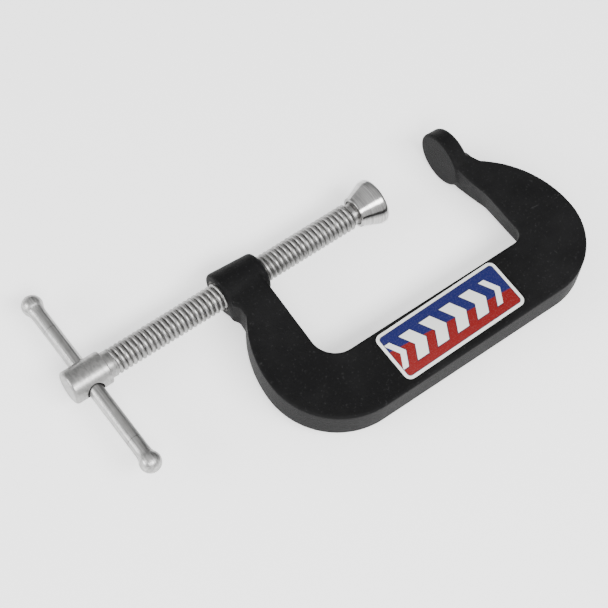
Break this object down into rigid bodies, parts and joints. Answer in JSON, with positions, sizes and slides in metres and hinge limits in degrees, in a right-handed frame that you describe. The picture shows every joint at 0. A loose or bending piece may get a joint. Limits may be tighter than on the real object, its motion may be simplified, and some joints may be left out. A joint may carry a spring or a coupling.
{
  "type": "c clamp",
  "caption": "C-shaped screw clamp: cast frame with a disc anvil and a threaded boss, screw with a sliding T-bar handle and a swivel pad.",
  "frame": {"origin": "centre of the anvil's working face, on the screw's axis", "axes": "+X runs along the screw from the handle to the anvil, +Y runs from the spine of the frame to the screw, +Z is the flat side of the plate that carries the label"},
  "size_m": [0.2196, 0.1261, 0.025],
  "materials": {
    "black_coat": "black powder coat with a fine texture, over the casting",
    "label_film": "printed film with a white border, satin gloss",
    "screw_steel": "zinc-plated steel with a rolled thread and a turned head",
    "pad_steel": "zinc-plated steel, turned and polished",
    "bar_steel": "zinc-plated drawn rod with upset ball ends"
  },
  "bodies": {
    "frame_body": {"frame": "black_coat", "label": "label_film"},
    "pad_body": {"swivel_pad": "pad_steel"},
    "screw_body": {"screw": "screw_steel"},
    "bar_body": {"t_bar": "bar_steel"}
  },
  "joints": [
    {"name": "screw_travel", "type": "slide", "parent": "frame_body", "child": "pad_body", "axis": [1, 0, 0], "range_m": [-0.0484, 0.0338]},
    {"name": "screw_turn", "type": "hinge", "parent": "pad_body", "child": "screw_body", "pos_m": [-0.1, 0, 0], "axis": [1, 0, 0], "range_deg": [-7740, 5400]},
    {"name": "tbar_slide", "type": "slide", "parent": "screw_body", "child": "bar_body", "axis": [0, 0.9984, -0.0558], "range_m": [-0.0304, 0.0354]}
  ],
  "couplings": [
    {"joint": "screw_travel", "follows": "screw_turn", "m_per_rad": 0.0003581}
  ]
}
